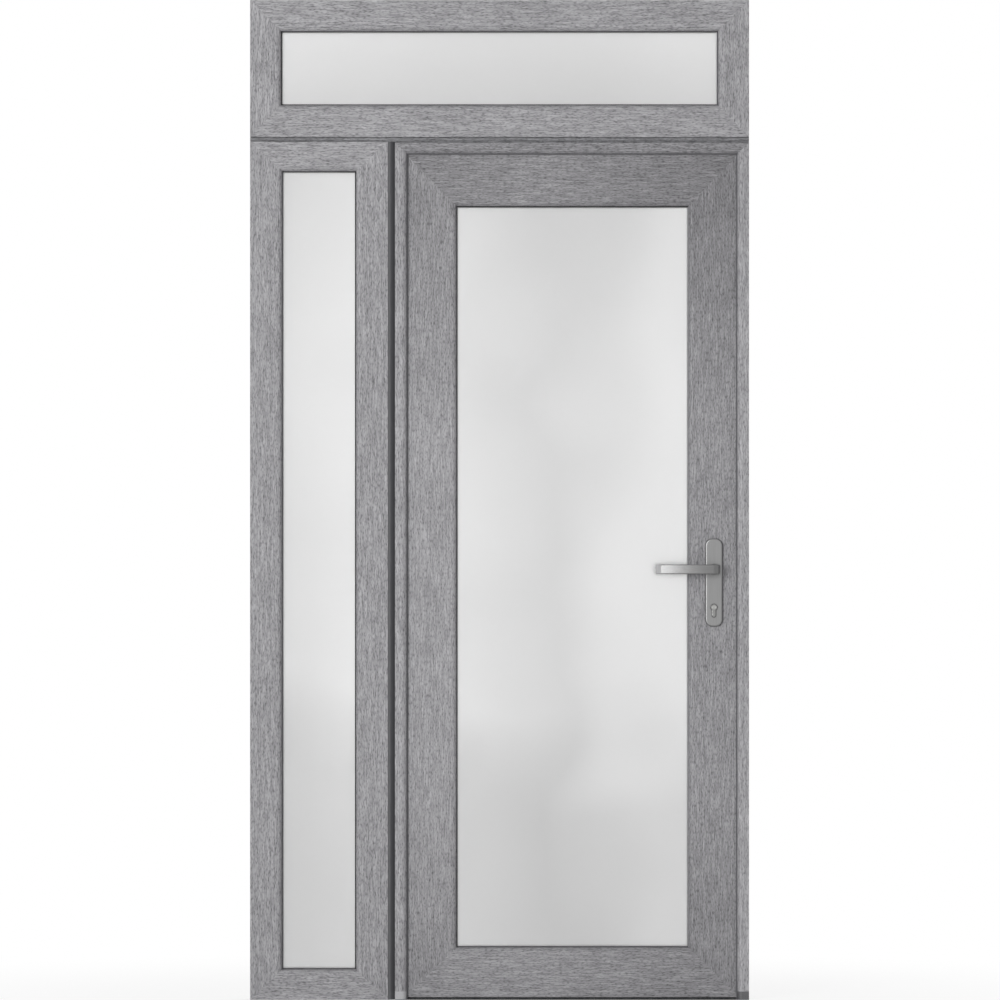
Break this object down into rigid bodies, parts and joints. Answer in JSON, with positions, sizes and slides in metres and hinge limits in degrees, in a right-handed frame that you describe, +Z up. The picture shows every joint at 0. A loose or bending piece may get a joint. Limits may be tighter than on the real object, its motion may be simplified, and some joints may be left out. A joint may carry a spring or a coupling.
{
  "type": "exterior door",
  "caption": "Grey wood-grain plastic exterior door set: an inward-opening full-glass door with a lever handle, a narrow fixed sidelight and a fixed transom light on top.",
  "frame": {"origin": "on the underside of the threshold, at the middle of the set's width and of the frame's depth", "axes": "+X to the right as seen from outside, +Y into the building, +Z up"},
  "size_m": [1.2174, 0.161, 2.44],
  "materials": {
    "grey_foil": "satin",
    "frosted_glass": "satin",
    "gasket_rubber": "matte",
    "coupler_plastic": "matte",
    "foot_plastic": "matte",
    "satin_handle": "satin",
    "nickel": "satin",
    "steel": "satin",
    "aluminium": "satin",
    "brush_pile": "matte"
  },
  "bodies": {
    "frame": {"door_head": "grey_foil", "hinge_frame_plates": "steel", "hinge_jamb": "grey_foil", "hinge_pins": "steel", "jamb_feet": "foot_plastic", "level_coupler": "coupler_plastic", "lock_jamb": "grey_foil", "sidelight_beads": "grey_foil", "sidelight_bottom_bar": "grey_foil", "sidelight_gaskets": "gasket_rubber", "sidelight_glass": "frosted_glass", "sidelight_left_bar": "grey_foil", "sidelight_right_bar": "grey_foil", "sidelight_spacer": "aluminium", "sidelight_top_bar": "grey_foil", "stop_seal": "gasket_rubber", "strike_plates": "steel", "threshold": "aluminium", "transom_beads": "grey_foil", "transom_bottom_bar": "grey_foil", "transom_gaskets": "gasket_rubber", "transom_glass": "frosted_glass", "transom_left_bar": "grey_foil", "transom_right_bar": "grey_foil", "transom_spacer": "aluminium", "transom_top_bar": "grey_foil", "upright_coupler": "coupler_plastic"},
    "leaf": {"bottom_brush": "brush_pile", "handle_screws": "steel", "hinge_leaf_plates": "steel", "hinge_stile": "grey_foil", "inner_backplate": "satin_handle", "leaf_beads": "grey_foil", "leaf_bottom_rail": "grey_foil", "leaf_gaskets": "gasket_rubber", "leaf_glass": "frosted_glass", "leaf_spacer": "aluminium", "leaf_top_rail": "grey_foil", "lock_bolts": "steel", "lock_cylinder": "nickel", "lock_faceplate": "steel", "lock_stile": "grey_foil", "outer_backplate": "satin_handle"},
    "handle": {"inner_lever": "satin_handle", "outer_lever": "satin_handle", "spindle": "steel"}
  },
  "joints": [
    {"name": "door_swing", "type": "hinge", "parent": "frame", "child": "leaf", "pos_m": [-0.236, 0.0425, 1.03775], "axis": [0, 0, 1], "range_deg": [0, 110]},
    {"name": "lever_turn", "type": "hinge", "parent": "leaf", "child": "handle", "pos_m": [0.52325, 0.0085, 1.051], "axis": [0, -1, 0], "range_deg": [0, 40], "stiffness_Nm_per_rad": 2, "springref_deg": -34.38}
  ]
}
